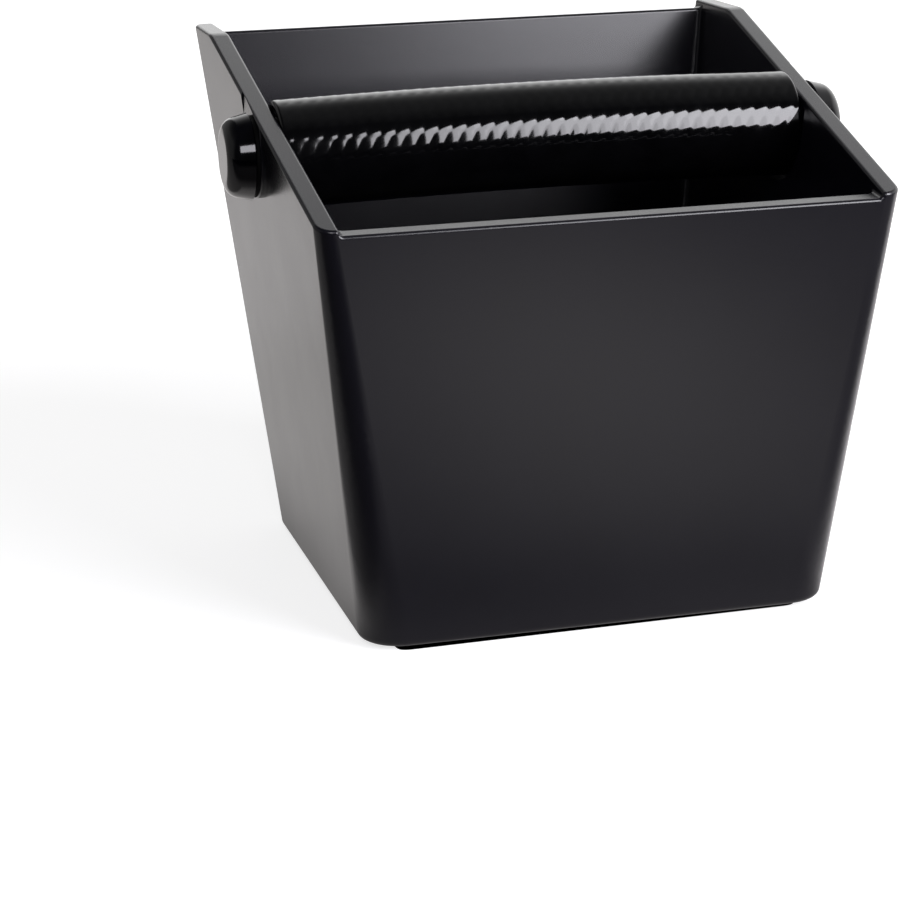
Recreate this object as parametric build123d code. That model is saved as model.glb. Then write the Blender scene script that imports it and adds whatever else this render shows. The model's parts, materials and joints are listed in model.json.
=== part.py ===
from build123d import *
import math
import os

# Espresso knock box: a leaning moulded box, and a padded bar held across it by two screwed knobs.
# Millimetres. X runs across the box, Y from the front to the rear, and Z up from the box's underside.
# The finished pieces are lifted until the pad under the box stands at Z = 0.

# Box walls
bottom_width = 143.1
bottom_depth = 135.5
wall_lean_angle = 6.108
wall = 6.2
floor = 5.0
front_height = 125.9
rear_height = 163.5
rear_rim_depth = 29.4
front_wall_drop = 1.6
rear_wall_drop = 2.9
outer_bottom_corner = 12.7
outer_top_corner = 3.2
inner_bottom_corner = 6.5
inner_top_corner = 1.6

# Box edges
rim_break_round = 14.0
rim_round = 1.0
notch_round = 1.2
underside_round = 2.5
floor_round = 6.0

# Pad under the box
pad_inset = 8.0
pad_thickness = 2.5
pad_recess = 1.0
pad_corner = 6.0
pad_edge_round = 0.8
pad_clearance = 0.15

# Place of the bar, from the rear rim's outer edge and its top
bar_setback = 86.26
bar_drop = 29.56

# Seats on the side walls
boss_radius = 12.4
boss_proud = 1.13
boss_edge_round = 0.6
pocket_clearance = 1.35

# Bar
sleeve_radius = 16.15
sleeve_bow = 1.2
sleeve_end_round = 0.9
sleeve_gap = 0.25
core_radius = 11.0
core_wall = 1.5
core_clearance = 0.05
plug_flange = 1.5
plug_length = 14.0
plug_edge_chamfer = 0.8

# Washers
inner_washer_thickness = 0.8
inner_washer_radius = 10.8
inner_washer_clearance = 0.3
outer_washer_thickness = 1.0
outer_washer_radius = 12.1

# Studs
shoulder_radius = 5.0
shoulder_gap = 0.3
thread_radius = 4.0
thread_length = 10.0
tip_chamfer = 0.8
head_radius = 7.5
head_thickness = 3.0
head_inset = 2.5
running_clearance = 0.08

# Knobs
knob_length = 8.1
knob_base_radius = 12.9
knob_face_radius = 11.0
knob_round = 4.7
knob_base_chamfer = 0.4

# How far a cutting solid runs past what it cuts, and how near two places count as touching
overrun = 2.0
touch = 0.01

lean = math.tan(math.radians(wall_lean_angle))
plan_centre = -lean * (rear_height - front_height) / 2
front_rim = plan_centre - bottom_depth / 2 - lean * front_height
rear_rim = plan_centre + bottom_depth / 2 + lean * rear_height
rim_break = rear_rim - rear_rim_depth
rim_slope = (rear_height - front_height) / (rim_break - front_rim)

bar_y = rear_rim - bar_setback
bar_height = rear_height - bar_drop
seat = bottom_width / 2 + lean * bar_height + boss_proud
pocket = seat - wall
flush_height = (seat - bottom_width / 2) / lean
bar_end = pocket - inner_washer_thickness
sleeve_end = pocket - sleeve_gap
knob_base = seat + outer_washer_thickness
hole_radius = shoulder_radius + running_clearance
pad_proud = pad_thickness - pad_recess


def plan(height, inset, corner):
    """A level section of the box, drawn in from its outside by the inset."""
    width = bottom_width + 2 * lean * height - 2 * inset
    depth = bottom_depth + 2 * lean * height - 2 * inset
    return Pos(0, plan_centre, height) * RectangleRounded(width, depth, corner)


def leaning_block(low, high, inset, bottom_corner, top_corner):
    """A block with the box's lean: flat sides, and upright corners that sharpen from bottom to top."""
    def section(height):
        corner = bottom_corner + (top_corner - bottom_corner) * height / rear_height
        return plan(height, inset, corner).face()

    bottom = section(low)
    top = section(high)
    sides = []
    for lower, upper in zip(bottom.edges(), top.edges()):
        if lower.geom_type == GeomType.LINE:
            outline = Polyline(lower @ 0, lower @ 1, upper @ 1, upper @ 0, close=True)
            sides.append(make_face(outline).face())
        else:
            sides.append(Face.make_surface_from_curves(lower, upper))
    return Solid(Shell([bottom, top, *sides]))


def rim_cutter():
    """All that lies above the rim, which slopes up from the front and runs level at the rear."""
    above = rear_height + 2 * overrun
    ahead = plan_centre - bottom_depth / 2 - lean * above
    behind = plan_centre + bottom_depth / 2 + lean * above
    outline = make_face(
        Polyline(
            (ahead, front_height - rim_slope * (front_rim - ahead)),
            (rim_break, rear_height),
            (behind, rear_height),
            (behind, above),
            (ahead, above),
            close=True,
        )
    )
    corner = outline.vertices().sort_by_distance((rim_break, rear_height))[0]
    outline = fillet(corner, rim_break_round)
    return extrude(Plane.YZ * outline, amount=bottom_width, both=True)


def inner_half_width(height):
    return bottom_width / 2 + lean * height - wall


def wall_notch(level, rim, inward):
    """Lowers the front or the rear wall between the side walls, with a floor square to the wall's lean.

    The level is the floor's height at the wall's outside, and its lower corners are rounded.
    """
    above = rear_height + 2 * overrun
    below = level - wall
    reach = 3 * wall
    between_sides = make_face(
        Polyline(
            (-inner_half_width(below), below),
            (inner_half_width(below), below),
            (inner_half_width(above), above),
            (-inner_half_width(above), above),
            close=True,
        )
    )
    between_sides = extrude(Plane.XZ.offset(-rim) * between_sides, amount=reach - wall, both=True)
    over_floor = make_face(
        Polyline(
            (rim - inward * reach, level - lean * reach),
            (rim + inward * reach, level + lean * reach),
            (rim + inward * reach, above),
            (rim - inward * reach, above),
            close=True,
        )
    )
    notch = between_sides & extrude(Plane.YZ * over_floor, amount=bottom_width, both=True)
    floor_edges = notch.faces().sort_by(Axis.Z)[0].edges().sort_by(Axis.X)
    return fillet([floor_edges[0], floor_edges[-1]], notch_round)


def seat_outline(radius, top):
    """A U shape about the bar's axis, looked at along X, with its open end up."""
    upper = Pos(bar_y, (bar_height + top) / 2) * Rectangle(2 * radius, top - bar_height)
    return upper + Pos(bar_y, bar_height) * Circle(radius)


def side_pair(right):
    """The piece at the right, and its mirror image at the left."""
    return {"right": right, "left": mirror(right, about=Plane.YZ)}


def along_bar(profile):
    """Turns a profile, drawn as distance along X and radius, about the bar's axis."""
    return Pos(0, bar_y, bar_height) * revolve(profile, Axis.X)


def ring(start, length, inner, outer):
    """A ring or tube about the bar's axis."""
    middle = start + length / 2
    return along_bar(Pos(middle, (inner + outer) / 2) * Rectangle(length, outer - inner))


def edges_along(shape, block, low):
    """Those edges of a shape, above a height, whose middles lie on the upright faces of a block."""
    walls = block.faces().sort_by(Axis.Z)[1:-1]

    def lies_along(edge):
        middle = Vertex(*edge.position_at(0.5))
        return edge.center().Z > low and min(wall_face.distance_to(middle) for wall_face in walls) < touch

    return [edge for edge in shape.edges() if lies_along(edge)]


def make_bin_body():
    block = leaning_block(0, rear_height + overrun, 0, outer_bottom_corner, outer_top_corner)
    cavity = leaning_block(floor, rear_height + 2 * overrun, wall, inner_bottom_corner, inner_top_corner)
    body = fillet(block.edges().group_by(Axis.Z)[0], underside_round)
    body -= fillet(cavity.edges().group_by(Axis.Z)[0], floor_round)
    above_rim = rim_cutter()
    body -= above_rim
    notch_level = front_height - front_wall_drop
    body -= wall_notch(notch_level, front_rim, 1)
    body -= wall_notch(rear_height - rear_wall_drop, rear_rim, -1)
    low = notch_level - touch
    body = fillet(edges_along(body, block, low) + edges_along(body, cavity, low), rim_round)

    for side in (-1, 1):
        boss = Plane.YZ * seat_outline(boss_radius, flush_height)
        boss = Pos(side * (seat - wall / 2), 0, 0) * extrude(boss, amount=side * wall / 2)
        boss = fillet(boss.faces().sort_by(Axis.X)[-1 if side > 0 else 0].edges(), boss_edge_round)
        boss -= Pos(0, 0, -rim_round) * above_rim
        above_seat = Plane.YZ * seat_outline(boss_radius, rear_height)
        above_seat = Pos(side * seat, 0, 0) * extrude(above_seat, amount=side * wall)
        in_pocket = Plane.YZ * seat_outline(sleeve_radius + pocket_clearance, rear_height)
        in_pocket = Pos(side * pocket, 0, 0) * extrude(in_pocket, amount=-side * wall)
        body = body + boss - above_seat - in_pocket
    body -= ring(-seat - overrun, 2 * (seat + overrun), 0, hole_radius)

    recess = plan(0, pad_inset - pad_clearance, pad_corner)
    body -= extrude(recess, amount=pad_recess)
    return body


def make_base_pad():
    pad = Pos(0, 0, -pad_proud) * extrude(plan(0, pad_inset, pad_corner), amount=pad_thickness)
    return fillet(pad.edges().group_by(Axis.Z)[0], pad_edge_round)


def make_bar_sleeve():
    """The bar's rubber cover: a straight bore, and an outside that bows up along an arc."""
    bow_radius = (sleeve_end ** 2 + sleeve_bow ** 2) / (2 * sleeve_bow)
    reach = math.degrees(math.asin((sleeve_end + overrun) / bow_radius))
    centre = (0, bar_height + sleeve_bow - bow_radius)
    arc = Plane.XZ.offset(-bar_y) * CenterArc(centre, bow_radius, 90 - reach, 2 * reach)
    outside = sweep((arc ^ 0) * Circle(sleeve_radius), path=arc)
    length = 2 * sleeve_end
    outside &= Pos(0, bar_y, bar_height) * Box(length, length, length)
    faces = outside.faces().sort_by(Axis.X)
    outside = fillet(faces[0].edges() + faces[-1].edges(), sleeve_end_round)
    return outside - ring(-sleeve_end - overrun, length + 2 * overrun, 0, core_radius + core_clearance)


def make_end_plug():
    """Flanged plug in the tube's right end, with the bore that the stud screws into."""
    shank_radius = core_radius - core_wall - core_clearance
    bore = thread_radius + running_clearance
    shoulder = bar_end - plug_flange
    inner_end = shoulder - plug_length
    profile = make_face(
        Polyline(
            (inner_end, bore),
            (bar_end, bore),
            (bar_end, core_radius),
            (shoulder, core_radius),
            (shoulder, shank_radius),
            (inner_end + plug_edge_chamfer, shank_radius),
            (inner_end, shank_radius - plug_edge_chamfer),
            close=True,
        )
    )
    return along_bar(profile)


def make_stud():
    """Shoulder stud of the right knob: moulded-in head, plain shoulder, threaded end."""
    shoulder_end = bar_end + shoulder_gap
    tip = shoulder_end - thread_length
    head = knob_base + head_inset
    profile = make_face(
        Polyline(
            (tip, 0),
            (tip, thread_radius - tip_chamfer),
            (tip + tip_chamfer, thread_radius),
            (shoulder_end, thread_radius),
            (shoulder_end, shoulder_radius),
            (head, shoulder_radius),
            (head, head_radius),
            (head + head_thickness, head_radius),
            (head + head_thickness, 0),
            close=True,
        )
    )
    return along_bar(profile)


def make_knob(stud):
    """Right knob: tapers outwards from its seat, with a broad rounded edge and a flat face."""
    outer = knob_base + knob_length
    profile = make_face(
        Polyline(
            (knob_base, 0),
            (knob_base, knob_base_radius - knob_base_chamfer),
            (knob_base + knob_base_chamfer, knob_base_radius),
            (outer, knob_face_radius),
            (outer, 0),
            close=True,
        )
    )
    corner = profile.vertices().sort_by_distance((outer, knob_face_radius))[0]
    return along_bar(fillet(corner, knob_round)) - stud


os.makedirs("parts", exist_ok=True)

core_end = bar_end - plug_flange
inner_washer_bore = shoulder_radius + inner_washer_clearance
stud = make_stud()
pieces = {
    "bin_body": make_bin_body(),
    "base_pad": make_base_pad(),
    "bar_core": ring(-core_end, 2 * core_end, core_radius - core_wall, core_radius),
    "bar_sleeve": make_bar_sleeve(),
}
paired = {
    "end_plug": make_end_plug(),
    "inner_washer": ring(bar_end, inner_washer_thickness, inner_washer_bore, inner_washer_radius),
    "outer_washer": ring(seat, outer_washer_thickness, hole_radius, outer_washer_radius),
    "stud": stud,
    "knob": make_knob(stud),
}
for name, right in paired.items():
    for side, piece in side_pair(right).items():
        pieces[f"{side}_{name}"] = piece

for name, piece in pieces.items():
    export_step(Pos(0, 0, pad_proud) * piece, f"parts/{name}.step")
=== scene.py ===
import json
import math

import bmesh
import bpy
from mathutils import Matrix, Vector


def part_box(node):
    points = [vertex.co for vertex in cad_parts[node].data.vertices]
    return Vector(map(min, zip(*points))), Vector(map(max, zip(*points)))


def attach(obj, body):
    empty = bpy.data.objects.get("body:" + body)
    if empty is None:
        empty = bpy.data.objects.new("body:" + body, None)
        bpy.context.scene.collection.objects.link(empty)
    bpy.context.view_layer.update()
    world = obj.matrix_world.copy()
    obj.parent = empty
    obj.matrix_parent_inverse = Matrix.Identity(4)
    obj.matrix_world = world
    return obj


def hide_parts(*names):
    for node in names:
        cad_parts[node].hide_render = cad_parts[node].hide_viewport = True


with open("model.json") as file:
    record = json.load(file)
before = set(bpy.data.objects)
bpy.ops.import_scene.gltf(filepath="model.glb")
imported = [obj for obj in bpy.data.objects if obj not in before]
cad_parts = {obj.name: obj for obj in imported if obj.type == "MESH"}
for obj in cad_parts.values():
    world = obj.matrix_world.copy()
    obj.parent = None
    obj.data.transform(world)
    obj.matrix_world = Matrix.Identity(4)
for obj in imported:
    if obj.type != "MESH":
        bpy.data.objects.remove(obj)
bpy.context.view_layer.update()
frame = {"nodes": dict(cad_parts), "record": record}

# Lengths are in metres, in the frame's own axes: X across the box, Y to the rear, Z up.
MM = 0.001
TOUCH = 0.001 * MM
WELD = 0.01 * MM
PHOTO_WIDTH = 900

# Places read from the frame
knob_low, knob_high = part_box("left_knob")
BAR_AXIS = Vector((0, (knob_low.y + knob_high.y) / 2, (knob_low.z + knob_high.z) / 2))
BOX_FOOT_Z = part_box("bin_body")[0].z
SIDES = {"left": -1, "right": 1}


# Mesh tools

def finished(name, bm, material, body, replaces, smooth_angle=math.pi):
    """Turns a bmesh made about the bar's axis into a shown piece that rides on a body."""
    bmesh.ops.translate(bm, verts=bm.verts, vec=BAR_AXIS)
    bmesh.ops.recalc_face_normals(bm, faces=bm.faces)
    mesh = bpy.data.meshes.new(name)
    bm.to_mesh(mesh)
    bm.free()
    mesh.materials.append(material)
    mesh.shade_smooth()
    mesh.set_sharp_from_angle(angle=smooth_angle)
    piece = bpy.data.objects.new(name, mesh)
    bpy.context.scene.collection.objects.link(piece)
    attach(piece, body)
    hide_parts(replaces)
    return piece


def wrap_about_bar(bm, radius, height_at):
    """Rolls a flat sheet into a tube: its Y goes round, and a relief stands on the radius."""
    for vert in bm.verts:
        turn = vert.co.y / radius
        out = radius + height_at(vert.co.x, vert.co.y)
        vert.co = Vector((vert.co.x, -math.cos(turn) * out, math.sin(turn) * out))
    bmesh.ops.remove_doubles(bm, verts=bm.verts, dist=WELD)


def end_ring(bm, side):
    return [edge for edge in bm.edges if edge.is_boundary and edge.verts[0].co.x * side > 0]


def extrude_ring(bm, ring, stations):
    """Carries an open ring about the X axis on through stations of place along X and radius."""
    for x, radius in stations:
        made = bmesh.ops.extrude_edge_only(bm, edges=ring)["geom"]
        ring = [part for part in made if isinstance(part, bmesh.types.BMEdge)]
        for vert in (part for part in made if isinstance(part, bmesh.types.BMVert)):
            shrink = radius / math.hypot(vert.co.y, vert.co.z)
            vert.co = Vector((x, vert.co.y * shrink, vert.co.z * shrink))
    return ring


# Sleeve of the bar: slanted, crowned scales in staggered rows that wind along the bar

SLEEVE_RADIUS = 16.15 * MM
SLEEVE_BOW = 1.2 * MM
SLEEVE_END_ROUND = 0.9 * MM
SLEEVE_BORE = 11.05 * MM
END_ROUND_STEPS = 4
SCALE_PITCH = 4.3 * MM
SCALE_ROWS = 20
SCALE_LEAN_PITCHES = 5
SCALE_CROWN_ALONG = 33 * MM
SCALE_CROWN_AROUND = 90 * MM
SCALE_SLANT = 0.45
SCALE_ROW_PHASE = 0.62
SCALE_VALLEY = 0.005 * MM
SCALE_STEPS_ALONG = 8
SCALE_STEPS_AROUND = 8


def scale_relief(around):
    """The relief's depth below the scales' crowns, at a place on the flat sheet."""
    row = around / SCALE_ROWS
    lean = SCALE_LEAN_PITCHES * SCALE_PITCH / around

    def height_at(x, y):
        y -= SCALE_ROW_PHASE * row
        rows = round(y / row)
        total = 0
        for near_row in (rows - 1, rows, rows + 1):
            up = y - near_row * row
            start = lean * near_row * row + (near_row % 2) * SCALE_PITCH / 2 + SCALE_SLANT * up
            centre = round((x - start) / SCALE_PITCH)
            for near in (centre - 1, centre, centre + 1):
                along = x - start - near * SCALE_PITCH
                fall = along ** 2 / (2 * SCALE_CROWN_ALONG) + up ** 2 / (2 * SCALE_CROWN_AROUND)
                total += math.exp(-fall / SCALE_VALLEY)
        return min(0, SCALE_VALLEY * math.log(total))

    return height_at


def make_sleeve(rubber):
    low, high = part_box("bar_sleeve")
    half = (high.x - low.x) / 2
    skin_half = half - SLEEVE_END_ROUND
    around = math.tau * SLEEVE_RADIUS
    lean = SCALE_LEAN_PITCHES * SCALE_PITCH / around
    scales_along = 2 * math.ceil(half / SCALE_PITCH + SCALE_LEAN_PITCHES / 2)
    length = scales_along * SCALE_PITCH

    bm = bmesh.new()
    bmesh.ops.create_grid(bm, x_segments=scales_along * SCALE_STEPS_ALONG,
                          y_segments=SCALE_ROWS * SCALE_STEPS_AROUND, size=0.5)
    leaning = Matrix(((length, lean * around, 0, 0), (0, around, 0, 0), (0, 0, 1, 0), (0, 0, 0, 1)))
    bmesh.ops.transform(bm, matrix=leaning, verts=bm.verts)
    wrap_about_bar(bm, SLEEVE_RADIUS, scale_relief(around))
    for side in (-1, 1):
        bmesh.ops.bisect_plane(bm, geom=bm.verts[:] + bm.edges[:] + bm.faces[:], dist=TOUCH,
                               plane_co=(side * skin_half, 0, 0), plane_no=(side, 0, 0), clear_outer=True)
    bores = []
    for side in (-1, 1):
        turns = [math.pi / 2 * step / END_ROUND_STEPS for step in range(1, END_ROUND_STEPS + 1)]
        rounded = [(side * (skin_half + SLEEVE_END_ROUND * math.sin(turn)),
                    SLEEVE_RADIUS - SLEEVE_END_ROUND * (1 - math.cos(turn))) for turn in turns]
        bores += extrude_ring(bm, end_ring(bm, side), rounded + [(side * half, SLEEVE_BORE)])
    for vert in bm.verts:
        if math.hypot(vert.co.y, vert.co.z) > SLEEVE_BORE + TOUCH:
            vert.co.z += SLEEVE_BOW * (1 - (vert.co.x / half) ** 2)
    bmesh.ops.bridge_loops(bm, edges=bores)
    finished("bar_sleeve_scaled", bm, rubber, "box", "bar_sleeve")


# Studs: moulded-in head, plain shoulder, undercut and a rolled M8 thread, right-handed at both ends

THREAD_PITCH = 1.25 * MM
THREAD_RADIUS = 4.0 * MM
THREAD_ROOT_RADIUS = 3.27 * MM
THREAD_CREST_SHARE = 0.16
THREAD_ROOT_SHARE = 0.22
THREAD_STEPS_ALONG = 8
THREAD_STEPS_AROUND = 48
UNDERCUT_LENGTH = 1.5 * MM
UNDERCUT_RADIUS = 3.2 * MM
TIP_CHAMFER = 0.9 * MM
SHOULDER_RADIUS = 5.0 * MM
SHOULDER_CHAMFER = 0.3 * MM
STUD_THREADED = 10.0 * MM
STUD_HEAD_THICKNESS = 3.0 * MM
STUD_HEAD_RADIUS = 7.5 * MM
TIP_DIMPLE_DEPTH = 0.4 * MM
TIP_DIMPLE_RADIUS = 1.2 * MM
THREAD_SMOOTH_ANGLE = math.radians(35)


def make_stud(side, sign, steel):
    low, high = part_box(f"{side}_stud")
    tip = min(abs(low.x), abs(high.x))
    face = max(abs(low.x), abs(high.x))
    shoulder = tip + STUD_THREADED
    cut = shoulder - UNDERCUT_LENGTH
    around = math.tau * THREAD_RADIUS
    slope_share = (1 - THREAD_CREST_SHARE - THREAD_ROOT_SHARE) / 2

    def thread_at(x, y):
        """A trapezoid profile that climbs one pitch a turn and dies out in the tip's chamfer."""
        share = (x / THREAD_PITCH + y / around) % 1
        from_crest = abs(share - 0.5) - THREAD_CREST_SHARE / 2
        depth = min(max(from_crest / slope_share, 0), 1) * (THREAD_RADIUS - THREAD_ROOT_RADIUS)
        chamfer = max(TIP_CHAMFER - (abs(x) - tip), 0)
        ending = max(abs(x) - (cut - THREAD_PITCH / 2), 0) / (THREAD_PITCH / 2)
        ends = (THREAD_RADIUS - UNDERCUT_RADIUS) * min(ending, 1)
        return -max(depth, chamfer, ends)

    bm = bmesh.new()
    bmesh.ops.create_grid(bm, x_segments=round((cut - tip) / THREAD_PITCH * THREAD_STEPS_ALONG),
                          y_segments=THREAD_STEPS_AROUND, size=0.5)
    bmesh.ops.scale(bm, vec=(cut - tip, around, 1), verts=bm.verts)
    bmesh.ops.translate(bm, vec=(sign * (cut + tip) / 2, 0, 0), verts=bm.verts)
    wrap_about_bar(bm, THREAD_RADIUS, thread_at)
    rings = [edge for edge in bm.edges if edge.is_boundary]
    inner = [edge for edge in rings if abs(edge.verts[0].co.x) < (tip + cut) / 2]
    outer = [edge for edge in rings if edge not in inner]
    head = face - STUD_HEAD_THICKNESS
    extrude_ring(bm, outer, [
        (sign * shoulder, UNDERCUT_RADIUS),
        (sign * shoulder, SHOULDER_RADIUS - SHOULDER_CHAMFER),
        (sign * (shoulder + SHOULDER_CHAMFER), SHOULDER_RADIUS),
        (sign * head, SHOULDER_RADIUS),
        (sign * head, STUD_HEAD_RADIUS),
        (sign * face, STUD_HEAD_RADIUS),
        (sign * face, TOUCH),
    ])
    extrude_ring(bm, inner, [(sign * tip, TIP_DIMPLE_RADIUS), (sign * (tip + TIP_DIMPLE_DEPTH), TOUCH)])
    bmesh.ops.remove_doubles(bm, verts=bm.verts, dist=WELD)
    finished(f"{side}_stud_threaded", bm, steel, f"{side}_knob_screw", f"{side}_stud",
             smooth_angle=THREAD_SMOOTH_ANGLE)


# Shader tools

def new_material(name):
    material = bpy.data.materials.new(name)
    material.use_nodes = True
    tree = material.node_tree
    tree.nodes.clear()
    shader = add_node(tree, "ShaderNodeBsdfPrincipled")
    output = add_node(tree, "ShaderNodeOutputMaterial")
    tree.links.new(shader.outputs["BSDF"], output.inputs["Surface"])
    place = add_node(tree, "ShaderNodeTexCoord").outputs["Object"]
    return material, tree, shader, place


def add_node(tree, kind, **settings):
    node = tree.nodes.new(kind)
    for key, value in settings.items():
        setattr(node, key, value)
    return node


def feed(tree, socket, value):
    """Links a socket, or sets it to a plain number or colour."""
    if isinstance(value, bpy.types.NodeSocket):
        tree.links.new(value, socket)
    else:
        socket.default_value = value


def calc(tree, operation, *values, clamp=False):
    node = add_node(tree, "ShaderNodeMath", operation=operation, use_clamp=clamp)
    for socket, value in zip(node.inputs, values):
        feed(tree, socket, value)
    return node.outputs[0]


def length(tree, vector):
    node = add_node(tree, "ShaderNodeVectorMath", operation="LENGTH")
    feed(tree, node.inputs[0], vector)
    return node.outputs["Value"]


def ramped(tree, value, start, full, low=0.0, high=1.0, kind="SMOOTHSTEP"):
    """Maps a value that runs from start to full onto low to high."""
    node = add_node(tree, "ShaderNodeMapRange", interpolation_type=kind)
    for name, number in (("Value", value), ("From Min", start), ("From Max", full),
                         ("To Min", low), ("To Max", high)):
        feed(tree, node.inputs[name], number)
    return node.outputs["Result"]


def noise(tree, place, size, detail=2.0, roughness=0.5):
    """Fractal noise from 0 to 1. Size is its lumps' width, or a socket with their number per metre."""
    node = add_node(tree, "ShaderNodeTexNoise")
    feed(tree, node.inputs["Vector"], place)
    feed(tree, node.inputs["Scale"], size if isinstance(size, bpy.types.NodeSocket) else 1 / size)
    node.inputs["Detail"].default_value = detail
    node.inputs["Roughness"].default_value = roughness
    return node.outputs["Fac"]


def blend(tree, share, first, second):
    """A colour between two colours."""
    node = add_node(tree, "ShaderNodeMix", data_type="RGBA")
    feed(tree, node.inputs["Factor"], share)
    colours = [socket for socket in node.inputs if socket.type == "RGBA"]
    feed(tree, colours[0], first)
    feed(tree, colours[1], second)
    return next(socket for socket in node.outputs if socket.type == "RGBA")


def bumped(tree, shader, height, depth):
    """Turns a height from 0 to 1 into a relief of a real depth."""
    bump = add_node(tree, "ShaderNodeBump")
    bump.inputs["Distance"].default_value = depth
    feed(tree, bump.inputs["Height"], height)
    feed(tree, shader.inputs["Normal"], bump.outputs["Normal"])


def new_group(name, takes, gives):
    """A node group with named sockets, given as a kind of socket for each name."""
    tree = bpy.data.node_groups.new(name, "ShaderNodeTree")
    for socket, kind in takes.items():
        tree.interface.new_socket(name=socket, in_out="INPUT", socket_type=f"NodeSocket{kind}")
    for socket, kind in gives.items():
        tree.interface.new_socket(name=socket, in_out="OUTPUT", socket_type=f"NodeSocket{kind}")
    return tree, tree.nodes.new("NodeGroupInput").outputs, tree.nodes.new("NodeGroupOutput").inputs


def use_group(tree, group, **values):
    """Places a group; its sockets are named in small letters with underscores."""
    node = add_node(tree, "ShaderNodeGroup", node_tree=group)
    for name, value in values.items():
        feed(tree, node.inputs[name.replace("_", " ").capitalize()], value)
    return node.outputs


# Surface effects that several finishes share

FINE_GRAIN_SHARE = 0.6
CLOUD_RANGE = (0.3, 0.7)
RUB_TURNS_AND_STRETCHES = ((0.5, 14.0), (-1.1, 20.0))
RUB_RANGE = (0.64, 0.72)
STREAK_RANGE = (0.35, 0.65)


def make_moulded_grain():
    """The fine spark-eroded texture of a moulding tool, with soft clouds of more and less gloss."""
    group, takes, gives = new_group(
        "moulded_grain", {"Place": "Vector", "Grains per metre": "Float", "Clouds per metre": "Float"},
        {"Height": "Float", "Cloud": "Float"})
    fine = noise(group, takes["Place"], takes["Grains per metre"], detail=3, roughness=0.65)
    cells = add_node(group, "ShaderNodeTexVoronoi", feature="SMOOTH_F1")
    feed(group, cells.inputs["Vector"], takes["Place"])
    feed(group, cells.inputs["Scale"], takes["Grains per metre"])
    coarse = calc(group, "MULTIPLY", cells.outputs[0], 1 - FINE_GRAIN_SHARE)
    feed(group, gives["Height"], calc(group, "MULTIPLY_ADD", fine, FINE_GRAIN_SHARE, coarse))
    wide = noise(group, takes["Place"], takes["Clouds per metre"], detail=5, roughness=0.6)
    feed(group, gives["Cloud"], ramped(group, wide, *CLOUD_RANGE))
    return group


def make_handling_marks():
    """Faint hairlines in two directions, where hands and cloths have rubbed."""
    group, takes, gives = new_group("handling_marks", {"Place": "Vector", "Lines per metre": "Float"},
                                    {"Mask": "Float"})
    masks = []
    for turn, stretch in RUB_TURNS_AND_STRETCHES:
        laid = add_node(group, "ShaderNodeMapping")
        feed(group, laid.inputs["Vector"], takes["Place"])
        laid.inputs["Rotation"].default_value = (turn, turn / 2, turn)
        laid.inputs["Scale"].default_value = (1, 1 / stretch, 1)
        lines = noise(group, laid.outputs[0], takes["Lines per metre"], detail=2, roughness=0.7)
        masks.append(ramped(group, lines, *RUB_RANGE))
    feed(group, gives["Mask"], calc(group, "MAXIMUM", *masks))
    return group


def make_turned_lines():
    """Fine rings that a lathe tool leaves about the bar's axis."""
    group, takes, gives = new_group("turned_lines", {"Place": "Vector", "Rings per metre": "Float"},
                                    {"Height": "Float", "Streak": "Float"})
    parts = add_node(group, "ShaderNodeSeparateXYZ")
    feed(group, parts.inputs[0], takes["Place"])
    along = add_node(group, "ShaderNodeCombineXYZ")
    feed(group, along.inputs["X"], parts.outputs["X"])
    rings = noise(group, along.outputs[0], takes["Rings per metre"], detail=4, roughness=0.7)
    feed(group, gives["Height"], rings)
    feed(group, gives["Streak"], ramped(group, rings, *STREAK_RANGE))
    return group


moulded_grain = make_moulded_grain()
handling_marks = make_handling_marks()
turned_lines = make_turned_lines()


# Finishes

def black_finish(name, colours, grain, cloud, depth, gloss, marks=None, specular=0.5, foot=None):
    """A black moulded finish. Colours and gloss are pairs that the clouds vary between.

    Marks are the hairlines' width and effect. Foot is the height where a painted highlight along the lower
    edge starts, the height where it is full, and its colour; it stands in for the light that a rounded lower
    edge would catch from the floor.
    """
    material, tree, shader, place = new_material(name)
    moulded = use_group(tree, moulded_grain, place=place, grains_per_metre=1 / grain,
                        clouds_per_metre=1 / cloud)
    rough = ramped(tree, moulded["Cloud"], 0, 1, *gloss, kind="LINEAR")
    if marks:
        lines, effect = marks
        rubbed = use_group(tree, handling_marks, place=place, lines_per_metre=1 / lines)["Mask"]
        rough = calc(tree, "ADD", rough, calc(tree, "MULTIPLY", rubbed, effect))
    colour = blend(tree, moulded["Cloud"], *colours)
    # A painted highlight: the colour turns lighter just above the foot, in place of a rounded edge catching
    # light
    if foot:
        start, full, painted_highlight_colour = foot
        parts = add_node(tree, "ShaderNodeSeparateXYZ")
        feed(tree, parts.inputs[0], place)
        edge = ramped(tree, parts.outputs["Z"], BOX_FOOT_Z + start, BOX_FOOT_Z + full)
        colour = blend(tree, edge, colour, painted_highlight_colour)
    feed(tree, shader.inputs["Base Color"], colour)
    feed(tree, shader.inputs["Roughness"], rough)
    shader.inputs["Specular IOR Level"].default_value = specular
    bumped(tree, shader, moulded["Height"], depth)
    return material


def metal_finish(name, colours, ring, depth, gloss):
    """A turned or drawn metal. Colours and gloss are pairs that the tool's rings vary between."""
    material, tree, shader, place = new_material(name)
    turned = use_group(tree, turned_lines, place=place, rings_per_metre=1 / ring)
    shader.inputs["Metallic"].default_value = 1
    feed(tree, shader.inputs["Base Color"], blend(tree, turned["Streak"], *colours))
    feed(tree, shader.inputs["Roughness"], ramped(tree, turned["Streak"], 0, 1, *gloss, kind="LINEAR"))
    bumped(tree, shader, turned["Height"], depth)
    return material


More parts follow.
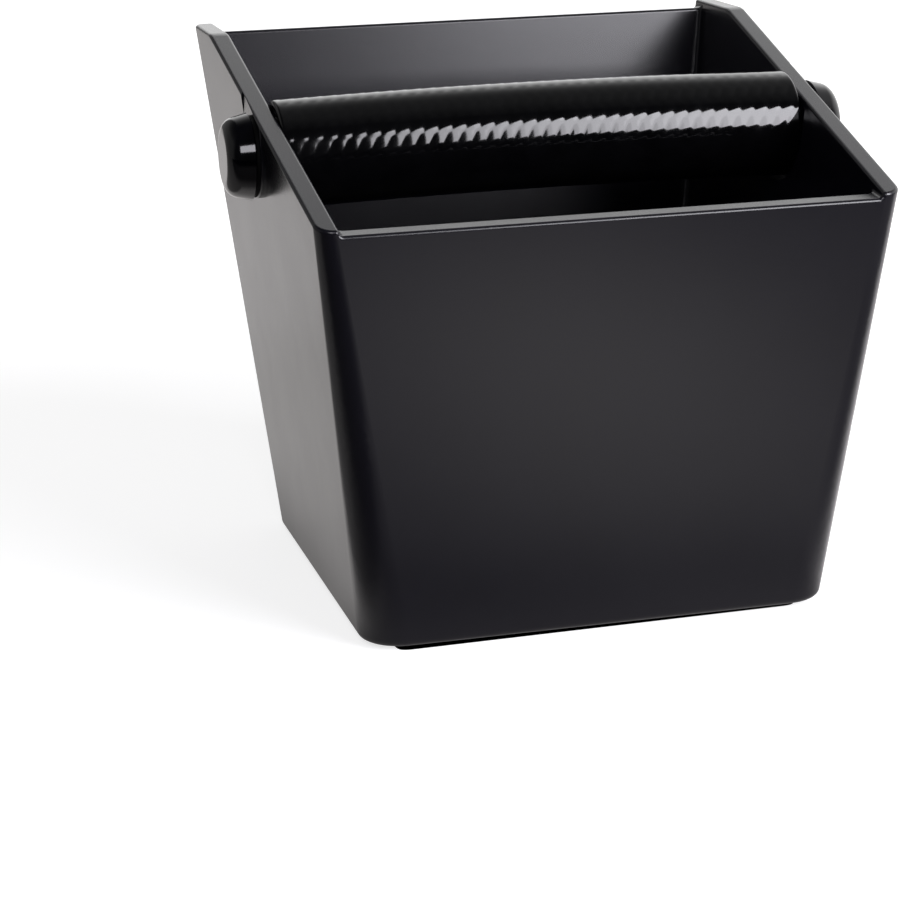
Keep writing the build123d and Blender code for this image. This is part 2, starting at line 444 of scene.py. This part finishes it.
finishes = {
    "box_plastic": black_finish(
        "box_plastic", colours=((0.0028, 0.0026, 0.0048, 1), (0.0034, 0.0032, 0.0056, 1)),
        grain=0.5 * MM, cloud=26 * MM, depth=0.011 * MM, gloss=(0.235, 0.25), marks=(0.9 * MM, 0.008),
        # The lighter foot colour is a painted highlight along the box's lower edge
        foot=(0.85 * MM, 0.3 * MM, (0.036, 0.036, 0.04, 1))),
    "pad_rubber": black_finish(
        "pad_rubber", colours=((0.006, 0.006, 0.006, 1), (0.011, 0.011, 0.011, 1)),
        grain=0.9 * MM, cloud=18 * MM, depth=0.12 * MM, gloss=(0.66, 0.8), specular=0.3),
    "sleeve_rubber": black_finish(
        "sleeve_rubber", colours=((0.0008, 0.0008, 0.001, 1), (0.0013, 0.0013, 0.0016, 1)),
        grain=0.35 * MM, cloud=9 * MM, depth=0.0015 * MM, gloss=(0.06, 0.1)),
    "washer_rubber": black_finish(
        "washer_rubber", colours=((0.002, 0.002, 0.002, 1), (0.004, 0.004, 0.004, 1)),
        grain=0.4 * MM, cloud=6 * MM, depth=0.03 * MM, gloss=(0.6, 0.72), specular=0.1),
    "knob_plastic": black_finish(
        "knob_plastic", colours=((0.0008, 0.0008, 0.0014, 1), (0.0012, 0.0012, 0.002, 1)),
        grain=1.4 * MM, cloud=12 * MM, depth=0.002 * MM, gloss=(0.07, 0.1), marks=(0.5 * MM, 0.07)),
    "core_steel": metal_finish(
        "core_steel", colours=((0.5, 0.5, 0.51, 1), (0.6, 0.6, 0.61, 1)),
        ring=0.8 * MM, depth=0.01 * MM, gloss=(0.26, 0.36)),
    "plug_aluminium": metal_finish(
        "plug_aluminium", colours=((0.68, 0.68, 0.7, 1), (0.78, 0.78, 0.8, 1)),
        ring=0.35 * MM, depth=0.012 * MM, gloss=(0.24, 0.36)),
    "stud_steel": metal_finish(
        "stud_steel", colours=((0.56, 0.56, 0.57, 1), (0.66, 0.66, 0.68, 1)),
        ring=0.3 * MM, depth=0.006 * MM, gloss=(0.18, 0.3)),
}

for entry in frame["record"]["subparts"]:
    slots = frame["nodes"][entry["node"]].data.materials
    slots.clear()
    slots.append(finishes[entry["material_slot"]])


# Camera

CAMERA_PLACE = Vector((-0.221529, -0.745535, 0.2619))
CAMERA_YAW = math.radians(14.562)
CAMERA_PITCH = math.radians(16.122)
CAMERA_ROLL = math.radians(-1.139)
FOCAL_PIXELS = 2565.883
SENSOR_WIDTH = 36.0


def make_camera():
    ahead = Vector((math.sin(CAMERA_YAW) * math.cos(CAMERA_PITCH),
                    math.cos(CAMERA_YAW) * math.cos(CAMERA_PITCH),
                    -math.sin(CAMERA_PITCH)))
    level = Vector((math.cos(CAMERA_YAW), -math.sin(CAMERA_YAW), 0))
    upright = level.cross(ahead)
    right = math.cos(CAMERA_ROLL) * level + math.sin(CAMERA_ROLL) * upright
    up = -math.sin(CAMERA_ROLL) * level + math.cos(CAMERA_ROLL) * upright
    lens = bpy.data.cameras.new("camera")
    lens.sensor_fit = "HORIZONTAL"
    lens.sensor_width = SENSOR_WIDTH
    lens.lens = FOCAL_PIXELS * SENSOR_WIDTH / PHOTO_WIDTH
    lens.clip_start = 0.01
    lens.clip_end = 50
    camera = bpy.data.objects.new("camera", lens)
    bpy.context.scene.collection.objects.link(camera)
    facing = Matrix((right, up, -ahead)).transposed().to_4x4()
    camera.matrix_world = Matrix.Translation(CAMERA_PLACE) @ facing
    bpy.context.scene.camera = camera


# Studio

LAMP_AIM = Vector((0, 0, 0.1))
LAMP_DISTANCE = 1.3
LAMP_COLOUR = (1.0, 0.99, 1.05)
KEY_AZIMUTH = 34
KEY_ELEVATION = 22
KEY_HEIGHT = 0.75
KEY_EDGES = (-0.46, -0.34, -0.2, 0, 0.46)
KEY_RADIANCES = (8, 10, 12, 13.5)
FILL_AZIMUTH = -20
FILL_ELEVATION = 30
FILL_WIDTH = 0.4
FILL_HEIGHT = 0.38
FILL_RADIANCE = 8


def soft_lamp(name, azimuth, elevation, width, height, radiance, aside=0):
    """A rectangular lamp that looks at the box. Azimuth 0 is straight in front, 90 at the right."""
    turn = math.radians(azimuth)
    rise = math.radians(elevation)
    out = Vector((math.sin(turn) * math.cos(rise), -math.cos(turn) * math.cos(rise), math.sin(rise)))
    lamp = bpy.data.lights.new(name, "AREA")
    lamp.shape = "RECTANGLE"
    lamp.size = width
    lamp.size_y = height
    lamp.energy = radiance * math.pi * width * height
    lamp.color = LAMP_COLOUR
    holder = bpy.data.objects.new(name, lamp)
    bpy.context.scene.collection.objects.link(holder)
    holder.location = LAMP_AIM + out * LAMP_DISTANCE + Vector((math.cos(turn), math.sin(turn), 0)) * aside
    holder.rotation_mode = "QUATERNION"
    holder.rotation_quaternion = (-out).to_track_quat("-Z", "Y")


def make_lamps():
    """The key's panels grow brighter from left to right, which shades the scales one by one."""
    for panel, (left, right, radiance) in enumerate(zip(KEY_EDGES, KEY_EDGES[1:], KEY_RADIANCES)):
        soft_lamp(f"key_softbox_{panel}", KEY_AZIMUTH, KEY_ELEVATION, width=right - left, height=KEY_HEIGHT,
                  radiance=radiance, aside=(left + right) / 2)
    soft_lamp("fill_softbox", FILL_AZIMUTH, FILL_ELEVATION, width=FILL_WIDTH, height=FILL_HEIGHT,
              radiance=FILL_RADIANCE)


# The camera sees an even white floor, but for a painted shadow in the gap under the box's foot. What
# reflects or bounces off it is shaped with painted light and shade: darker in front than behind, a pool of
# light before the box, shade at its foot, and painted shade where flags would stand along the left and far
# in front
FLOOR_RADIUS = 8
FLOOR_CORNERS = 96
FLOOR_FRONT = 0.22
FLOOR_REAR = 0.85
FLOOR_FRONT_Y = -0.11
FLOOR_REAR_Y = -0.01
FLOOR_GLOSSY_LIFT = 0.46
FLOOR_TINT = (1.0, 0.97, 0.955, 1)
FLOOR_SHOWN = (0.5, 0.5, 0.5, 1)
SHOWN_LIFT_NEAR = 0.74
SHOWN_LIFT_FAR = 1.04
SHOWN_NEAR = 0.25
SHOWN_FAR = 0.8
FRONT_FLAG_Y = -0.6
FRONT_OPEN_Y = -0.25
LEFT_FLAG_X = -0.13
LEFT_OPEN_X = -0.1
LEFT_FLAG_SPREAD = 0.35
LEFT_FLAG_BEND_Y = -0.07
LEFT_FLAG_LEVEL = 0.28
POOL_PLACE = (0.05, -0.27, 0)
POOL_HALF_WIDTH = 0.159
POOL_HALF_DEPTH = 0.27
POOL_STRENGTH = 0.72
FOOT_HALF_WIDTH = 0.0715
FOOT_HALF_DEPTH = 0.068
FOOT_SHADE_REACH = 0.09
FOOT_SHADE_LEVEL = 0.62
SIDE_SHADE_NARROWING = 5
GAP_HALF_WIDTH = 62 * MM
GAP_HALF_DEPTH = 66.5 * MM
GAP_SKEW = 0.0168
GAP_SOFTNESS = 0.25 * MM
GAP_CORNER = 6 * MM
BLACK = (0, 0, 0, 1)
WHITE = (1, 1, 1, 1)


def past(tree, value, half_size):
    """How far a coordinate lies past a half size on either side."""
    return calc(tree, "SUBTRACT", calc(tree, "ABSOLUTE", value), half_size)


def floor_shade(tree, x, y):
    """The share of its light that the floor keeps: painted shade where flags would stand beside it, and at
    the box's foot.
    """
    beside = calc(tree, "MULTIPLY_ADD", calc(tree, "MAXIMUM", y, LEFT_FLAG_BEND_Y), LEFT_FLAG_SPREAD, x)
    flagged = calc(tree, "MULTIPLY", ramped(tree, beside, LEFT_FLAG_X, LEFT_OPEN_X, low=LEFT_FLAG_LEVEL),
                   ramped(tree, y, FRONT_FLAG_Y, FRONT_OPEN_Y))
    past_side = calc(tree, "MULTIPLY", SIDE_SHADE_NARROWING, past(tree, x, FOOT_HALF_WIDTH))
    past_foot = calc(tree, "MAXIMUM", past_side, past(tree, y, FOOT_HALF_DEPTH))
    foot_shade = ramped(tree, past_foot, 0, FOOT_SHADE_REACH, low=FOOT_SHADE_LEVEL)
    return calc(tree, "MULTIPLY", flagged, foot_shade)


def floor_outside_gap(tree, x, y):
    """0 in the painted shadow in the gap between the box's foot and the floor, 1 outside it."""
    gap_front = calc(tree, "MULTIPLY_ADD", x, GAP_SKEW, past(tree, y, GAP_HALF_DEPTH))
    past_gap = calc(tree, "SMOOTH_MAX", past(tree, x, GAP_HALF_WIDTH), gap_front, GAP_CORNER)
    return ramped(tree, past_gap, 0, GAP_SOFTNESS)


def light_pool(tree, place):
    """The glow that a pool of light before the box adds."""
    pool_place = add_node(tree, "ShaderNodeMapping", vector_type="TEXTURE")
    feed(tree, pool_place.inputs["Vector"], place)
    pool_place.inputs["Location"].default_value = POOL_PLACE
    pool_place.inputs["Scale"].default_value = (POOL_HALF_WIDTH, POOL_HALF_DEPTH, POOL_HALF_DEPTH)
    return ramped(tree, length(tree, pool_place.outputs[0]), 1, 0, high=POOL_STRENGTH)


def make_floor():
    bm = bmesh.new()
    bmesh.ops.create_circle(bm, cap_ends=True, segments=FLOOR_CORNERS, radius=FLOOR_RADIUS)
    mesh = bpy.data.meshes.new("floor")
    bm.to_mesh(mesh)
    bm.free()
    floor = bpy.data.objects.new("floor", mesh)
    bpy.context.scene.collection.objects.link(floor)
    material = bpy.data.materials.new("floor_white")
    material.use_nodes = True
    tree = material.node_tree
    tree.nodes.clear()
    path = add_node(tree, "ShaderNodeLightPath").outputs
    seen = path["Is Camera Ray"]
    place = add_node(tree, "ShaderNodeTexCoord").outputs["Object"]
    parts = add_node(tree, "ShaderNodeSeparateXYZ")
    feed(tree, parts.inputs[0], place)
    x, y = parts.outputs["X"], parts.outputs["Y"]
    behind = ramped(tree, y, FLOOR_FRONT_Y, FLOOR_REAR_Y)
    shade = floor_shade(tree, x, y)
    # Painted shadow: under the box's foot the floor shows black to the camera
    outside = floor_outside_gap(tree, x, y)

    paint = add_node(tree, "ShaderNodeBsdfDiffuse")
    pale = ramped(tree, behind, 0, 1, FLOOR_FRONT, FLOOR_REAR, kind="LINEAR")
    bounced = blend(tree, calc(tree, "MULTIPLY", pale, shade), BLACK, FLOOR_TINT)
    feed(tree, paint.inputs["Color"], blend(tree, seen, bounced, blend(tree, outside, BLACK, FLOOR_SHOWN)))

    mirrored = calc(tree, "MAXIMUM", path["Is Glossy Ray"], path["Is Transmission Ray"])
    lift = calc(tree, "MULTIPLY_ADD", behind, FLOOR_GLOSSY_LIFT, light_pool(tree, place))
    lifted = calc(tree, "MULTIPLY", mirrored, calc(tree, "MULTIPLY", lift, shade))
    shown = ramped(tree, length(tree, place), SHOWN_NEAR, SHOWN_FAR, SHOWN_LIFT_NEAR, SHOWN_LIFT_FAR)
    shown = calc(tree, "MULTIPLY", seen, calc(tree, "MULTIPLY", shown, outside))
    glow = add_node(tree, "ShaderNodeEmission")
    feed(tree, glow.inputs["Color"], blend(tree, seen, FLOOR_TINT, WHITE))
    feed(tree, glow.inputs["Strength"], calc(tree, "MAXIMUM", lifted, shown))
    both = add_node(tree, "ShaderNodeAddShader")
    output = add_node(tree, "ShaderNodeOutputMaterial")
    tree.links.new(paint.outputs[0], both.inputs[0])
    tree.links.new(glow.outputs[0], both.inputs[1])
    tree.links.new(both.outputs[0], output.inputs["Surface"])
    mesh.materials.append(material)


# The lit screen stands behind the box and bends over it, ever darker; a flag hides its left part
SCREEN_START = -0.6
SCREEN_FULL = 0.0
SCREEN_BY_HEIGHT = ((0.0, 1.75), (0.3, 1.9), (0.5, 1.9), (0.67, 0.88), (0.82, 0.4), (0.93, 0.22),
                    (1.0, 0.15))
LEFT_FLAG_START = -0.05
LEFT_FLAG_FULL = -0.16
FLAG_FOOT = (-0.06, 0.0)
FLAG_STRENGTH = 0.85
ROOM_DARK = 0.025
ROOM_FILL = 0.35


def make_world():
    world = bpy.data.worlds.new("studio")
    bpy.context.scene.world = world
    world.use_nodes = True
    tree = world.node_tree
    tree.nodes.clear()
    path = add_node(tree, "ShaderNodeLightPath").outputs
    parts = add_node(tree, "ShaderNodeSeparateXYZ")
    feed(tree, parts.inputs[0], add_node(tree, "ShaderNodeTexCoord").outputs["Generated"])
    screen = ramped(tree, parts.outputs["Y"], SCREEN_START, SCREEN_FULL)
    for (low, lit_low), (high, lit_high) in zip(SCREEN_BY_HEIGHT, SCREEN_BY_HEIGHT[1:]):
        share = ramped(tree, parts.outputs["Z"], low, high, 1, lit_high / lit_low, kind="LINEAR")
        screen = calc(tree, "MULTIPLY", screen, share)
    screen = calc(tree, "MULTIPLY", screen, SCREEN_BY_HEIGHT[0][1])
    flag = calc(tree, "MULTIPLY", ramped(tree, parts.outputs["X"], LEFT_FLAG_START, LEFT_FLAG_FULL),
                ramped(tree, parts.outputs["Z"], *FLAG_FOOT))
    hidden = ramped(tree, flag, 0, 1, 1, 1 - FLAG_STRENGTH, kind="LINEAR")
    room = calc(tree, "MAXIMUM", calc(tree, "MULTIPLY", screen, hidden), ROOM_DARK)
    seen = ramped(tree, path["Is Camera Ray"], 0, 1, room, 1, kind="LINEAR")
    lit = ramped(tree, path["Is Diffuse Ray"], 0, 1, seen, ROOM_FILL, kind="LINEAR")
    shown = add_node(tree, "ShaderNodeBackground")
    output = add_node(tree, "ShaderNodeOutputWorld")
    feed(tree, shown.inputs["Strength"], lit)
    tree.links.new(shown.outputs[0], output.inputs["Surface"])


make_sleeve(finishes["sleeve_rubber"])
for side, sign in SIDES.items():
    make_stud(side, sign, finishes["stud_steel"])
make_camera()
make_floor()
make_world()
make_lamps()

bpy.context.scene.view_settings.view_transform = "Standard"
